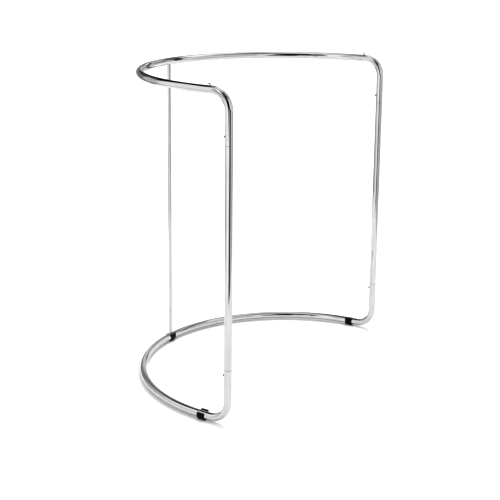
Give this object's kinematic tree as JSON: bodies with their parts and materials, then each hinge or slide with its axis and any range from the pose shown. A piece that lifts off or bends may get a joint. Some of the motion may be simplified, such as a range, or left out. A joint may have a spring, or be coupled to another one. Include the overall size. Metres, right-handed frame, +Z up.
{
  "type": "valet stand",
  "caption": "Half-round tubular valet stand: a D-shaped floor hoop and hanging rail joined by front uprights with snap-button joints and a thin rear rod, on black clip-on glides.",
  "frame": {"origin": "on the floor, below the middle of the stand's outer box", "axes": "+Z up, +X out through the open front between the uprights, +Y towards the right upright as seen from the front"},
  "size_m": [0.615, 1.0794, 1.0765],
  "materials": {
    "chrome_hoop": "polished chrome plating on bent steel tube",
    "chrome_upright": "polished chrome plating on straight steel tube",
    "chrome_rod": "polished chrome plating on thin steel tube",
    "hook_steel": "chromed steel wire",
    "button_steel": "turned steel, dull",
    "sleeve_steel": "zinc-plated steel tube",
    "spring_steel": "blued spring steel",
    "screw_steel": "zinc-plated steel",
    "insert_brass": "turned brass",
    "glide_plastic": "moulded black plastic, satin",
    "plug_plastic": "moulded black plastic"
  },
  "bodies": {
    "stand": {"base_hoop": "chrome_hoop", "top_hoop": "chrome_hoop", "left_upright": "chrome_upright", "right_upright": "chrome_upright", "rear_rod": "chrome_rod", "rod_top_plug": "plug_plastic", "rod_threaded_insert": "insert_brass", "rod_screw": "screw_steel", "lower_left_sleeve": "sleeve_steel", "lower_right_sleeve": "sleeve_steel", "upper_left_sleeve": "sleeve_steel", "upper_right_sleeve": "sleeve_steel", "lower_left_spring": "spring_steel", "lower_right_spring": "spring_steel", "upper_left_spring": "spring_steel", "upper_right_spring": "spring_steel", "left_hook": "hook_steel", "right_hook": "hook_steel", "left_glide": "glide_plastic", "right_glide": "glide_plastic", "rear_glide": "glide_plastic"},
    "lower_left_snap": {"lower_left_button": "button_steel"},
    "lower_right_snap": {"lower_right_button": "button_steel"},
    "upper_left_snap": {"upper_left_button": "button_steel"},
    "upper_right_snap": {"upper_right_button": "button_steel"}
  },
  "joints": [
    {"name": "lower_left_button_press", "type": "slide", "parent": "stand", "child": "lower_left_snap", "axis": [1, 0, 0], "range_m": [0, 0.0065], "stiffness_N_per_m": 1000, "springref_m": -0.003, "deforming": ["lower_left_spring"]},
    {"name": "lower_right_button_press", "type": "slide", "parent": "stand", "child": "lower_right_snap", "axis": [1, 0, 0], "range_m": [0, 0.0065], "stiffness_N_per_m": 1000, "springref_m": -0.003, "deforming": ["lower_right_spring"]},
    {"name": "upper_left_button_press", "type": "slide", "parent": "stand", "child": "upper_left_snap", "axis": [1, 0, 0], "range_m": [0, 0.0065], "stiffness_N_per_m": 1000, "springref_m": -0.003, "deforming": ["upper_left_spring"]},
    {"name": "upper_right_button_press", "type": "slide", "parent": "stand", "child": "upper_right_snap", "axis": [1, 0, 0], "range_m": [0, 0.0065], "stiffness_N_per_m": 1000, "springref_m": -0.003, "deforming": ["upper_right_spring"]}
  ]
}
